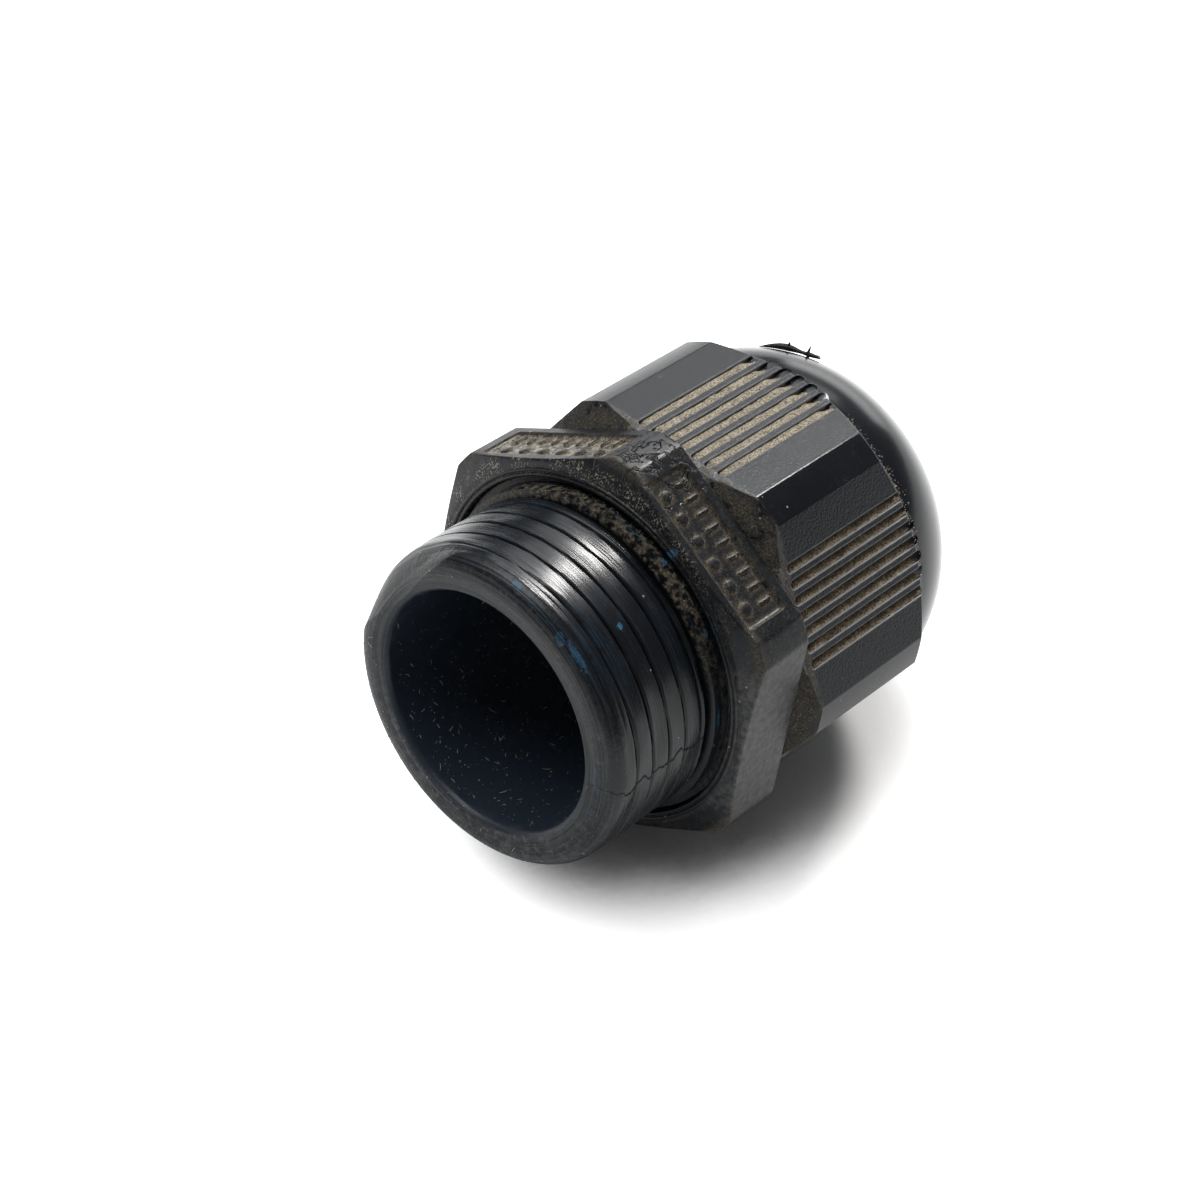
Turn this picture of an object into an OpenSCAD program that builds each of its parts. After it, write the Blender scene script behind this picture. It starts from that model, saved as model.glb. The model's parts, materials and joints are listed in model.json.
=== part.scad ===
// Nylon cable gland, lying on its side as it comes to rest.
// Three pieces: the gland body (entry thread, spanner hex, upper spigot and clamping crown in one
// moulding), the rubber sealing insert inside the crown, and the domed compression nut.
//
// Every piece is drawn upright on its own axis, with the face that seats on the panel at z = 0 and
// the entry thread below it. The last step lays the gland down.

/* [Entry thread] */
// Outer diameter of the entry thread
thread_d = 20.4; // [19:0.1:22]
// Rise of the entry thread in one turn
thread_pitch = 1.41; // [1:0.01:2]
// Depth of the thread groove
thread_depth = 0.6; // [0.3:0.05:0.8]
// Half angle of the thread groove, in degrees
thread_flank = 40; // [25:1:42]
// Width of the groove's flat bottom
thread_root_w = 0.12; // [0.05:0.01:0.2]
// Distance from the mouth to the middle of the thread groove's first turn
thread_start = 0.9; // [0.6:0.1:1.4]
// Distance from the mouth to the seating face
entry_len = 9.1; // [7:0.1:14]
// Radius of the rounded lip at the mouth
lip_r = 1.3; // [0.8:0.1:1.5]
// Width of the relief between the thread and the collar
relief_w = 0.45; // [0.3:0.05:0.8]
// How much deeper the relief and the neck are than the thread grooves beside them
relief_under = 0.08; // [0.05:0.01:0.2]
// Diameter of the plain collar behind the thread
collar_d = 20.9; // [20:0.1:22]
// Length of the plain collar behind the thread
collar_len = 0.85; // [0.5:0.05:1.5]

/* [Passage] */
// Diameter of the cable passage through the body
passage_d = 15.3; // [13:0.1:16]

/* [Body hex] */
// Spanner size of the body hex, across its flats
body_af = 24; // [24:0.5:27]
// Diameter over the cropped corners of the body hex
body_corner_d = 26.8; // [26.4:0.1:27.6]
// Thickness of the body hex
body_hex_t = 4.7; // [4:0.1:7]
// Slope of the chamfer on the seating side of the corners, in degrees
body_chamfer_slope = 20; // [10:1:30]
// Width of the gasket groove round the collar
seat_groove_w = 0.5; // [0.3:0.05:0.5]
// Depth of the gasket groove round the collar
seat_groove_depth = 0.5; // [0.2:0.1:0.8]
// Number of raised sealing ribs on the seating face
seat_ribs = 2; // [1:1:2]
// Spacing of the sealing ribs
seat_rib_step = 0.3; // [0.25:0.05:0.35]
// Width of a sealing rib
seat_rib_w = 0.14; // [0.1:0.02:0.2]
// Height of a sealing rib
seat_rib_h = 0.12; // [0.05:0.01:0.2]
// Width of the plain land between the outermost rib and the seating-side chamfer
seat_land_w = 0.29; // [0.1:0.01:0.4]
// Length of the sunk panels on two of the flats
panel_len = 10.2; // [8:0.1:11]
// Height of the sunk panels on two of the flats
panel_h = 3.3; // [2:0.1:3.6]
// Depth of the sunk panels on two of the flats
panel_depth = 0.25; // [0.1:0.05:0.4]
// Angle of the body hex against the flats of the dome nut, in degrees
hex_turn = 30; // [30:1:31]

/* [Spigot and crown] */
// Outer diameter of the upper thread
spigot_d = 20.2; // [19.4:0.1:20.4]
// Rise of the upper thread in one turn
spigot_pitch = 1.5; // [1.2:0.1:2]
// Depth of the upper thread's groove
spigot_depth = 0.45; // [0.3:0.05:0.5]
// Half angle of the upper thread's groove, in degrees
spigot_flank = 30; // [20:1:35]
// Width of the flat bottom of the upper thread's groove
spigot_root_w = 0.3; // [0.1:0.05:0.5]
// Length of the plain neck between the hex and the upper thread
neck_len = 1; // [0.8:0.1:1.5]
// Length of the upper thread
spigot_len = 6; // [4:0.1:6.4]
// Diameter of the crown below its tips
crown_d = 19.2; // [18.8:0.1:19.4]
// Height of the crown's fingers above the upper thread
finger_len = 6; // [5:0.1:6.4]
// Number of fingers in the crown
finger_count = 12; // [8:1:14]
// Width of the gap between two fingers
finger_gap = 0.8; // [0.5:0.1:1]
// Thickness of a finger
finger_wall = 1.2; // [1:0.05:1.4]
// Height of the sloped tips of the fingers
finger_tip = 1.4; // [1:0.1:1.6]

/* [Sealing insert] */
// Inner diameter of the sealing insert
insert_bore_d = 12.4; // [11:0.1:13]
// Length of the sealing insert
insert_len = 9; // [7:0.1:9.4]
// Clearance between the sealing insert and the body, at its sides and its seat
insert_clearance = 0.1; // [0.05:0.01:0.2]
// Depth of the seat that the sealing insert stands on, below the fingers
insert_seat = 3.7; // [3:0.1:4.5]
// Size of the bevel on the insert's mouth
insert_bevel = 0.7; // [0.3:0.1:1]

/* [Dome nut] */
// Spanner size of the dome nut, across its flats
nut_af = 24; // [24:0.5:27]
// Diameter over the cropped corners of the dome nut
nut_corner_d = 26.6; // [26.2:0.1:27.4]
// Gap between the body hex and the dome nut
nut_gap = 0.2; // [0.1:0.05:1]
// Length of the nut's hex along its flats, from the rear face
nut_hex_len = 12.1; // [11.5:0.1:14]
// Diameter of the nut's rear face
nut_rear_d = 23.4; // [23:0.1:24]
// Slope of the rear chamfer on the corners, in degrees
nut_rear_slope = 30; // [20:1:35]
// Slope of the shoulder that crops the corners at the dome, in degrees
shoulder_slope = 46; // [40:1:50]
// Diameter at which the dome starts
dome_d = 23.9; // [23.4:0.1:24]
// Height of the dome above the hex
dome_len = 7.1; // [6.5:0.1:8]
// Diameter of the dome's flat end face
dome_end_d = 14.6; // [14.2:0.1:15.6]
// Radius of the curve from the dome's side to its end face
dome_round_r = 8.3; // [7:0.1:12]
// Diameter of the cable hole in the dome
cable_hole_d = 13; // [12.4:0.1:13.4]
// Length of the cable hole, from the cone inside the nut to the end face
cable_hole_len = 3.1; // [2:0.1:4]
// Width of the bevel round the cable hole
cable_bevel = 0.4; // [0.2:0.05:0.5]
// Number of grip grooves on each flat
grip_count = 7; // [5:2:7]
// Spacing of the grip grooves
grip_step = 1.01; // [0.8:0.01:1.05]
// Width of a grip groove
grip_w = 0.6; // [0.4:0.05:0.7]
// Depth of a grip groove
grip_depth = 0.45; // [0.3:0.05:0.5]
// Distance from the rear face to the round ends of the grip grooves
grip_start = 0.9; // [0.6:0.1:2]
// Radial clearance between the nut and the upper thread
nut_clearance = 0.1; // [0.05:0.01:0.2]
// Clearance between the fingers' tips and the cone inside the nut
tip_clearance = 0.25; // [0.15:0.05:0.4]
// Length of the nut's bore that is threaded, from the rear face
nut_thread_len = 7.4; // [7:0.1:8]
// Diameter of the chamber above the nut's thread
chamber_d = 19.8; // [19.6:0.1:20]

/* [Hidden] */
$fn = 72;
over = 1;                                   // how far a cut reaches past what it cuts
helix_steps = 40;                           // rings of a thread groove in one turn
groove_over = 0.1;                          // how far a thread groove's cutter stands out of the crest
fit_step = 0.02;                            // least step that keeps two cuts from sharing a face

// Levels along the axis
mouth_z = -entry_len;
collar_z = -collar_len;
relief_z = collar_z - relief_w;
neck_z = body_hex_t;
spigot_z = neck_z + neck_len;
crown_z = spigot_z + spigot_len;
finger_top_z = crown_z + finger_len;
tip_z = finger_top_z - finger_tip;
seat_z = crown_z - insert_seat;
insert_z = seat_z + insert_clearance;
insert_top_z = insert_z + insert_len;
nut_z = body_hex_t + nut_gap;
dome_z = nut_z + nut_hex_len;
nut_top_z = dome_z + dome_len;
chamber_z = nut_z + nut_thread_len;

// Radii
thread_r = thread_d / 2;
first_rib_r = collar_d / 2 + seat_groove_w + seat_rib_w / 2;
seat_land_r = first_rib_r + (seat_ribs - 1) * seat_rib_step + seat_rib_w + seat_land_w;
spigot_r = spigot_d / 2;
crown_r = crown_d / 2;
crown_bore_r = crown_r - finger_wall;
insert_r = crown_bore_r - insert_clearance;
hole_r = cable_hole_d / 2;
nut_bore_r = spigot_r + nut_clearance;
chamber_r = chamber_d / 2;

// The cone inside the dome, which presses the fingers inwards, runs from the chamber to the hole.
cone_z = tip_z;
cone_top_z = nut_top_z - cable_hole_len;
cone_slope = (chamber_r - hole_r) / (cone_top_z - cone_z);
function cone_r(z) = chamber_r - cone_slope * (z - cone_z);

// A sealed gland lies on one corner of the body hex and on the end of one flat of the nut.
function lie_angle() =
    atan((body_corner_d / 2 - nut_af / 2) / (dome_z - body_hex_t));

// --- Shapes that repeat -----------------------------------------------------------------------

// A hexagonal bar of a given spanner size, with its corners on the x axis
module hex_bar(across_flats, height) {
    linear_extrude(height)
        circle(d = across_flats / cos(30), $fn = 6);
}

// One ring of a thread groove: the root corners inside, the open corners outside
function groove_ring(r, depth, root_w, flank, angle, z) =
    let (open_r = r + groove_over,
         root_half = root_w / 2,
         open_half = root_half + (open_r - (r - depth)) * tan(flank))
    [for (p = [[r - depth, -root_half], [open_r, -open_half],
               [open_r, open_half], [r - depth, root_half]])
        [p[0] * cos(angle), p[0] * sin(angle), z + p[1]]];

// The helical cutter of a right-hand thread on a shaft of radius r, from z0 up to z1
module thread_groove(r, pitch, depth, root_w, flank, z0, z1) {
    rings = ceil((z1 - z0) / pitch * helix_steps);
    points = [for (i = [0 : rings]) each
        groove_ring(r, depth, root_w, flank, 360 * i / helix_steps, z0 + pitch * i / helix_steps)];
    sides = [for (i = [0 : rings - 1], k = [0 : 3])
        let (a = 4 * i + k, b = 4 * i + (k + 1) % 4)
        each [[a, b, b + 4], [a, b + 4, a + 4]]];
    last = 4 * rings;
    ends = [[0, 2, 1], [0, 3, 2], [last, last + 1, last + 2], [last, last + 2, last + 3]];
    polyhedron(points, concat(sides, ends), convexity = 10);
}

// --- Gland body -------------------------------------------------------------------------------

// Half section of everything that is turned: lip, thread blank, relief and collar
module entry_section() {
    relief_r = thread_r - thread_depth - relief_under;
    translate([0, mouth_z])
        square([thread_r - lip_r, lip_r + fit_step]);
    translate([thread_r - lip_r, mouth_z + lip_r])
        circle(r = lip_r);
    translate([0, mouth_z + lip_r])
        square([thread_r, relief_z - mouth_z - lip_r]);
    translate([0, relief_z - fit_step])
        square([relief_r, relief_w + 2 * fit_step]);
    translate([0, collar_z])
        square([collar_d / 2, collar_len + fit_step]);
}

// The spanner hex, with its corners cropped and chamfered towards the seating face
module body_hex() {
    corner_r = body_corner_d / 2;
    chamfer_h = (corner_r - seat_land_r) * tan(body_chamfer_slope);
    intersection() {
        hex_bar(body_af, body_hex_t);
        rotate_extrude()
            polygon([[0, 0], [seat_land_r, 0], [corner_r, chamfer_h],
                     [corner_r, body_hex_t], [0, body_hex_t]]);
    }
}

// Gasket groove and raised sealing ribs on the seating face
module seat_groove() {
    rotate_extrude()
        translate([collar_d / 2, -over])
            square([seat_groove_w, over + seat_groove_depth]);
}

module seat_rib_rings() {
    for (i = [0 : seat_ribs - 1])
        rotate_extrude()
            translate([first_rib_r + i * seat_rib_step, -seat_rib_h])
                square([seat_rib_w, seat_rib_h + fit_step]);
}

// A shallow panel sunk into one flat of the hex
module flat_panel(angle) {
    rotate([0, 0, angle])
        translate([body_af / 2 - panel_depth, -panel_len / 2, (body_hex_t - panel_h) / 2])
            cube([panel_depth + over, panel_len, panel_h]);
}

// Half section of the spigot, the upper thread's blank and the crown with its sloped tips
module spigot_section() {
    tip_r = cone_r(finger_top_z) - tip_clearance;
    neck_r = spigot_r - spigot_depth - relief_under;
    polygon([
        [0, neck_z - fit_step],
        [neck_r, neck_z - fit_step],
        [neck_r, spigot_z],
        [spigot_r, spigot_z + spigot_depth],
        [spigot_r, crown_z - spigot_depth],
        [crown_r, crown_z],
        [crown_r, tip_z],
        [tip_r, finger_top_z],
        [0, finger_top_z]]);
}

module finger_gaps() {
    for (i = [0 : finger_count - 1])
        rotate([0, 0, (i + 0.5) * 360 / finger_count])
            translate([crown_bore_r - over, -finger_gap / 2, crown_z + finger_gap])
                cube([finger_wall + 2 * over, finger_gap, finger_len + over]);
}

module gland_body() {
    color([0.13, 0.14, 0.16])
        lying()
            difference() {
                union() {
                    rotate_extrude() entry_section();
                    difference() {
                        body_hex();
                        seat_groove();
                        flat_panel(150);
                        flat_panel(210);
                    }
                    seat_rib_rings();
                    rotate_extrude() spigot_section();
                }
                translate([0, 0, mouth_z - over])
                    cylinder(d = passage_d, h = seat_z - mouth_z + 2 * over);
                translate([0, 0, seat_z])
                    cylinder(r = crown_bore_r, h = finger_top_z - seat_z + over);
                finger_gaps();
                thread_groove(thread_r, thread_pitch, thread_depth, thread_root_w, thread_flank,
                              mouth_z + thread_start, relief_z + relief_w / 2);
                thread_groove(spigot_r, spigot_pitch, spigot_depth, spigot_root_w, spigot_flank,
                              spigot_z, crown_z);
            }
}

// --- Sealing insert ---------------------------------------------------------------------------

module sealing_insert() {
    bore_r = insert_bore_d / 2;
    tip_r = min(insert_r, cone_r(insert_top_z) - tip_clearance);
    color([0.09, 0.09, 0.1])
        lying()
            rotate_extrude()
                polygon([
                    [bore_r + insert_bevel, insert_z],
                    [insert_r, insert_z],
                    [insert_r, insert_top_z - insert_bevel],
                    [tip_r, insert_top_z],
                    [bore_r + insert_bevel, insert_top_z],
                    [bore_r, insert_top_z - insert_bevel],
                    [bore_r, insert_z + insert_bevel]]);
}

// --- Dome nut ---------------------------------------------------------------------------------

// Half section that crops the nut's hex: rear chamfer, corners and shoulder
module nut_hex_section() {
    corner_r = nut_corner_d / 2;
    rear_r = nut_rear_d / 2;
    dome_r = dome_d / 2;
    chamfer_h = (corner_r - rear_r) * tan(nut_rear_slope);
    shoulder_h = (corner_r - dome_r) * tan(shoulder_slope);
    polygon([[0, nut_z], [rear_r, nut_z], [corner_r, nut_z + chamfer_h],
             [corner_r, dome_z - shoulder_h], [dome_r, dome_z], [0, dome_z]]);
}

// Half section of the dome: one arc from the side to the rim of the end face, drawn about the
// centre that lies dome_round_r from both
module dome_section() {
    side = [dome_d / 2, 0];
    rim = [dome_end_d / 2, dome_len];
    chord = rim - side;
    half_chord = norm(chord) / 2;
    reach = sqrt(dome_round_r * dome_round_r - half_chord * half_chord);
    centre = (side + rim) / 2 - [chord[1], -chord[0]] / norm(chord) * reach;
    translate([0, dome_z])
        intersection() {
            translate([0, -fit_step]) square([side[0], dome_len + fit_step]);
            union() {
                translate(centre) circle(r = dome_round_r);
                translate([0, -fit_step]) square([rim[0], dome_len + fit_step]);
            }
        }
}

// Grip grooves of one flat, each with a round end towards the rear face
module grip_grooves() {
    for (i = [0 : grip_count - 1])
        translate([0, (i - (grip_count - 1) / 2) * grip_step])
            union() {
                translate([nut_z + grip_start + grip_w / 2, 0])
                    circle(d = grip_w);
                translate([nut_z + grip_start + grip_w / 2, -grip_w / 2])
                    square([nut_hex_len - grip_start - grip_w / 2, grip_w]);
            }
}

module nut_cavity() {
    rotate_extrude()
        polygon([
            [0, nut_z - over],
            [nut_bore_r, nut_z - over],
            [nut_bore_r, chamber_z],
            [chamber_r, chamber_z],
            [chamber_r, cone_z],
            [hole_r, cone_top_z],
            [hole_r, nut_top_z - cable_bevel],
            [hole_r + cable_bevel + over, nut_top_z + over],
            [0, nut_top_z + over]]);
}

module dome_nut() {
    color([0.2, 0.21, 0.23])
        lying()
            difference() {
                union() {
                    intersection() {
                        translate([0, 0, nut_z])
                            rotate([0, 0, hex_turn])
                                hex_bar(nut_af, nut_hex_len);
                        rotate_extrude() nut_hex_section();
                    }
                    rotate_extrude() dome_section();
                }
                nut_cavity();
                for (i = [0 : 5])
                    rotate([0, 0, 60 * i])
                        translate([nut_af / 2 - grip_depth, 0, 0])
                            rotate([0, -90, 0])
                                mirror([0, 0, 1])
                                    linear_extrude(grip_depth + over)
                                        grip_grooves();
            }
}

// Lays a piece down: the thread's mouth faces -x, and the nose of the dome dips to the ground
module lying() {
    rotate([0, 90 + lie_angle(), 0]) children();
}

gland_body();
sealing_insert();
dome_nut();
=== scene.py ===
"""A nylon cable gland that lies on a plain pale floor, laid out as a Blender add-on.

Lengths in this file are in metres, and MM turns millimetres into them. Every piece is drawn
upright, with the gland's axis along z and the face that seats on the panel at z = 0, and is then
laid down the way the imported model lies.
"""
import json
import math
import random

import bmesh
import bpy
from mathutils import Euler, Matrix, Vector, noise


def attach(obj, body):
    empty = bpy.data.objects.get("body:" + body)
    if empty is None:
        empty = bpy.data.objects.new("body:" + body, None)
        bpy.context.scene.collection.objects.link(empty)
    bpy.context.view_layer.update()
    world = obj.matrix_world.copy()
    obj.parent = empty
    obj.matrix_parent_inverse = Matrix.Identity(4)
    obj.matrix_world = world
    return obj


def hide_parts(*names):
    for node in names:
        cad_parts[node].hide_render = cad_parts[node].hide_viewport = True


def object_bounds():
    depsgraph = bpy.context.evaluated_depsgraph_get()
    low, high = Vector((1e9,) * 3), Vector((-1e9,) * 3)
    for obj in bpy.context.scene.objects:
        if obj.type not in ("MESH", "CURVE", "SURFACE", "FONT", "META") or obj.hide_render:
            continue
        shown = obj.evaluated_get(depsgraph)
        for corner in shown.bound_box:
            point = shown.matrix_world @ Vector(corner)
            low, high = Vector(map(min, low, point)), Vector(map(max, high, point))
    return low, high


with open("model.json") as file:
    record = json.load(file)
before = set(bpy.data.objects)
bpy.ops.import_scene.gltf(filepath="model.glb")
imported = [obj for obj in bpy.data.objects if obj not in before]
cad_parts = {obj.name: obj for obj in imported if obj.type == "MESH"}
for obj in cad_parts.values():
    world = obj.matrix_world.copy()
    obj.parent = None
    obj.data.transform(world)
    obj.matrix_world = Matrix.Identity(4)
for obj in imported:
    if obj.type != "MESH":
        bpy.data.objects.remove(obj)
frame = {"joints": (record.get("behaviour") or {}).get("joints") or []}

bl_info = {
    "name": "Cable Gland",
    "version": (1, 0, 0),
    "blender": (4, 5, 0),
    "location": "3D View > Sidebar > Gland",
    "description": "Models a worn nylon cable gland and its studio floor",
    "category": "Add Mesh",
}

MM = 0.001
CAD_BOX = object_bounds()

# The gland's own frame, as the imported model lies: its axis, its side and the two together.
TURN_JOINT = frame["joints"][0]
AXIS = Vector(TURN_JOINT["axis"]).normalized()
SIDE = Vector((0, 1, 0))
LAID = Matrix((SIDE.cross(AXIS), SIDE, AXIS)).transposed()
FLOOR_LEVEL = CAD_BOX[0].z

SECTOR = math.radians(60)                    # one side of a hexagon
QUARTER_TURN = math.radians(90)
FULL_TURN = 2 * math.pi


# --- Sizes and colours that a user would change ---------------------------------------------------

def length(name, millimetres, description):
    return bpy.props.FloatProperty(name=name, description=description, default=millimetres * MM,
                                   min=0, precision=5, unit="LENGTH", subtype="DISTANCE")


def colour(name, red, green, blue, description):
    return bpy.props.FloatVectorProperty(name=name, description=description, size=3, min=0, max=1,
                                         default=(red, green, blue), subtype="COLOR")


def degrees(name, angle, description):
    return bpy.props.FloatProperty(name=name, description=description, default=math.radians(angle),
                                   unit="ROTATION", subtype="ANGLE")


def count(name, number, description):
    return bpy.props.IntProperty(name=name, description=description, default=number, min=1)


class BodySizes(bpy.types.PropertyGroup):
    passage: length("Passage radius", 7.65, "Radius of the cable passage")
    entry: length("Entry length", 9.1, "Distance from the mouth to the seating face")
    lip: length("Lip radius", 1.3, "Radius of the rounded lip at the mouth")
    lip_inside: length("Lip inside", 0.5, "Radius of the lip's edge towards the passage")
    thread: length("Thread radius", 10.2, "Radius over the crests of the entry thread")
    pitch: length("Thread pitch", 1.41, "Rise of the entry thread in one turn")
    depth: length("Thread depth", 0.36, "Depth of the worn entry thread")
    relief: length("Relief radius", 9.52, "Radius of the relief behind the thread")
    relief_top: length("Relief depth", 0.85, "Distance from the seating face to the relief")
    relief_width: length("Relief width", 0.45, "Width of the relief behind the thread")
    collar: length("Collar radius", 10.45, "Radius of the plain collar")
    flats: length("Across flats", 24, "Spanner size of the body hex")
    corner: length("Corner radius", 13.4, "Radius of the cropped corners of the body hex")
    hex: length("Hex thickness", 4.7, "Thickness of the body hex")
    groove: length("Face groove", 0.5, "Width and depth of the groove round the collar")
    rib: length("Rib height", 0.12, "Height of the sealing ribs on the seating face")
    panel: length("Panel length", 10.2, "Length of the sunk panels on two flats")
    panel_height: length("Panel height", 3.3, "Height of the sunk panels on two flats")
    panel_depth: length("Panel depth", 0.25, "Depth of the sunk panels on two flats")
    spigot: length("Spigot radius", 10.1, "Radius over the crests of the upper thread")
    spigot_pitch: length("Spigot pitch", 1.5, "Rise of the upper thread in one turn")
    spigot_depth: length("Spigot depth", 0.45, "Depth of the upper thread")
    neck: length("Neck radius", 9.57, "Radius of the neck above the hex")
    neck_top: length("Neck top", 5.7, "Distance from the seating face to the upper thread")
    crown: length("Crown radius", 9.6, "Radius of the clamping crown")
    crown_bore: length("Crown bore", 8.4, "Radius inside the clamping crown")
    crown_base: length("Crown base", 11.7, "Distance from the seating face to the crown")
    crown_top: length("Crown top", 17.7, "Distance from the seating face to the fingers' ends")
    finger_tip: length("Finger tip", 1.4, "Height of the sloped tips of the fingers")
    finger_gap: length("Finger gap", 0.8, "Width of the gap between two fingers")
    fingers: count("Fingers", 12, "Number of fingers in the crown")
    seat: length("Insert seat", 8.0, "Distance from the seating face to the insert's seat")


class InsertSizes(bpy.types.PropertyGroup):
    bore: length("Insert bore", 6.2, "Radius inside the sealing insert")
    radius: length("Insert radius", 8.3, "Radius of the sealing insert")
    start: length("Insert start", 8.1, "Distance from the seating face to the insert")
    end: length("Insert end", 17.1, "Distance from the seating face to the insert's far end")
    bevel: length("Insert bevel", 0.7, "Bevel of the insert's mouths")


class NutSizes(bpy.types.PropertyGroup):
    flats: length("Across flats", 24, "Spanner size of the dome nut")
    start: length("Nut start", 4.9, "Distance from the seating face to the nut")
    shoulder: length("Shoulder", 17.0, "Distance from the seating face to the foot of the dome")
    end: length("Nut end", 24.1, "Distance from the seating face to the end of the dome")
    rear: length("Rear radius", 11.7, "Radius of the nut's rear face")
    corner: length("Corner radius", 13.3, "Radius of the nut's cropped corners")
    dome: length("Dome radius", 11.95, "Radius at the foot of the dome")
    dome_end: length("Dome end", 7.3, "Radius of the dome's end face")
    dome_curve: length("Dome curve", 8.3, "Radius of the dome's curve")
    bore: length("Nut bore", 10.2, "Radius of the nut's threaded bore")
    chamber: length("Chamber radius", 9.9, "Radius of the chamber above the nut's thread")
    chamber_start: length("Chamber start", 12.3, "Distance from the seating face to the chamber")
    cone_start: length("Cone start", 16.3, "Distance from the seating face to the inner cone")
    cone_end: length("Cone end", 21.0, "Distance from the seating face to the cone's end")
    hole: length("Cable hole", 6.5, "Radius of the cable hole")
    bevel: length("Hole bevel", 0.4, "Bevel round the cable hole")
    rear_slope: degrees("Rear slope", 30, "Slope of the rear chamfer")
    shoulder_slope: degrees("Shoulder slope", 46, "Slope of the shoulder")
    grooves: count("Grip grooves", 7, "Number of grip grooves on each flat")
    groove_step: length("Groove step", 1.01, "Spacing of the grip grooves")
    groove_width: length("Groove width", 0.6, "Width of a grip groove")
    groove_depth: length("Groove depth", 0.45, "Depth of a grip groove")
    groove_start: length("Groove start", 0.9, "Distance from the nut's rear face to the grooves")
    dust_end: length("Dust end", 16.25, "Distance from the seating face to the end of the dust")


class GlandColours(bpy.types.PropertyGroup):
    nylon: colour("Nylon", 0.0085, 0.0105, 0.0142, "Black nylon of the nut")
    body: colour("Body nylon", 0.0048, 0.0066, 0.0098, "Black nylon of the body")
    # This grey, made lighter, also paints highlights along edges and crests and a reflection on one
    # side of the body hex.
    scuff: colour("Scuffs", 0.10, 0.10, 0.105, "Nylon that is scuffed grey")
    dust: colour("Dust", 0.57, 0.495, 0.385, "Pale dust in the grip grooves")
    soil: colour("Soil", 0.16, 0.135, 0.10, "Brown soil in the corners")
    paint: colour("Paint", 0.10, 0.36, 0.62, "Smears of blue paint")
    rubber: colour("Rubber", 0.016, 0.016, 0.017, "Rubber of the sealing insert")
    floor: colour("Floor", 0.92, 0.92, 0.92, "Studio floor")


# --- Modelling helpers ----------------------------------------------------------------------------

def only(obj):
    """Leaves obj alone selected and active."""
    bpy.ops.object.select_all(action="DESELECT")
    obj.select_set(True)
    bpy.context.view_layer.objects.active = obj


def named(name):
    obj = bpy.context.object
    obj.name = obj.data.name = name
    return obj


def added(name, primitive, **settings):
    """A new primitive, alone selected, with its place, turn and scale in its mesh."""
    bpy.ops.object.select_all(action="DESELECT")
    primitive(**settings)
    obj = named(name)
    bpy.ops.object.transform_apply(location=True, rotation=True, scale=True)
    return obj


def trace(name, outline, closed=True):
    """A line of edges through the outline's points (radius, height), drawn in the plane y = 0."""
    first = Vector((outline[0][0], 0, outline[0][1]))
    obj = added(name, bpy.ops.mesh.primitive_plane_add, size=MM, location=first)
    bpy.ops.object.mode_set(mode="EDIT")
    bpy.ops.mesh.select_all(action="SELECT")
    bpy.ops.mesh.merge(type="CENTER")
    here = first
    for radius, height in [*outline[1:], *(outline[:1] if closed else [])]:
        there = Vector((radius, 0, height))
        bpy.ops.mesh.extrude_region_move(TRANSFORM_OT_translate={"value": there - here})
        here = there
    bpy.ops.mesh.select_all(action="SELECT")
    bpy.ops.mesh.remove_doubles(threshold=MM / 1000)
    return obj


def lathe(name, outline, steps):
    """A closed solid, turned about z from an outline of points (radius, height)."""
    obj = trace(name, outline)
    bpy.ops.mesh.select_all(action="SELECT")
    bpy.ops.mesh.spin(steps=steps, angle=FULL_TURN, center=(0, 0, 0), axis=(0, 0, 1))
    bpy.ops.mesh.select_all(action="SELECT")
    bpy.ops.mesh.remove_doubles(threshold=MM / 1000)
    bpy.ops.mesh.normals_make_consistent(inside=False)
    bpy.ops.object.mode_set(mode="OBJECT")
    return obj


def hex_bar(name, across_flats, bottom, top, turn):
    """A hexagonal bar about z. Its flats face 0, 60, 120 ... degrees, plus turn."""
    return added(name, bpy.ops.mesh.primitive_cylinder_add, vertices=6,
                 radius=across_flats / 2 / math.cos(SECTOR / 2), depth=top - bottom,
                 location=(0, 0, (top + bottom) / 2), rotation=(0, 0, turn))


def combine(obj, tool, operation):
    """Joins, cuts or crosses obj with tool, which is used up."""
    only(obj)
    modifier = obj.modifiers.new("Shape", "BOOLEAN")
    modifier.operation = operation
    modifier.solver = "EXACT"
    modifier.object = tool
    bpy.ops.object.modifier_apply(modifier=modifier.name)
    bpy.data.objects.remove(tool)


def round_edges(obj, width, sharper_than, segments=2):
    """Rounds the edges that turn by more than an angle."""
    only(obj)
    modifier = obj.modifiers.new("Worn edges", "BEVEL")
    modifier.width = width
    modifier.segments = segments
    modifier.limit_method = "ANGLE"
    modifier.angle_limit = sharper_than
    modifier.use_clamp_overlap = True
    bpy.ops.object.modifier_apply(modifier=modifier.name)


def join(name, pieces):
    """Makes one object of several."""
    bpy.ops.object.select_all(action="DESELECT")
    for piece in pieces:
        piece.select_set(True)
    bpy.context.view_layer.objects.active = pieces[0]
    bpy.ops.object.join()
    return named(name)


def copies(obj, places):
    """Copies of obj, each with its own mesh, moved by one matrix each. obj is used up."""
    made = []
    for place in places:
        copy = obj.copy()
        copy.data = obj.data.copy()
        copy.data.transform(place)
        bpy.context.scene.collection.objects.link(copy)
        made.append(copy)
    bpy.data.objects.remove(obj)
    return made


def side_place(angle):
    """Turns what is drawn facing x to face another way round the axis."""
    return Matrix.Rotation(angle, 4, "Z")


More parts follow.
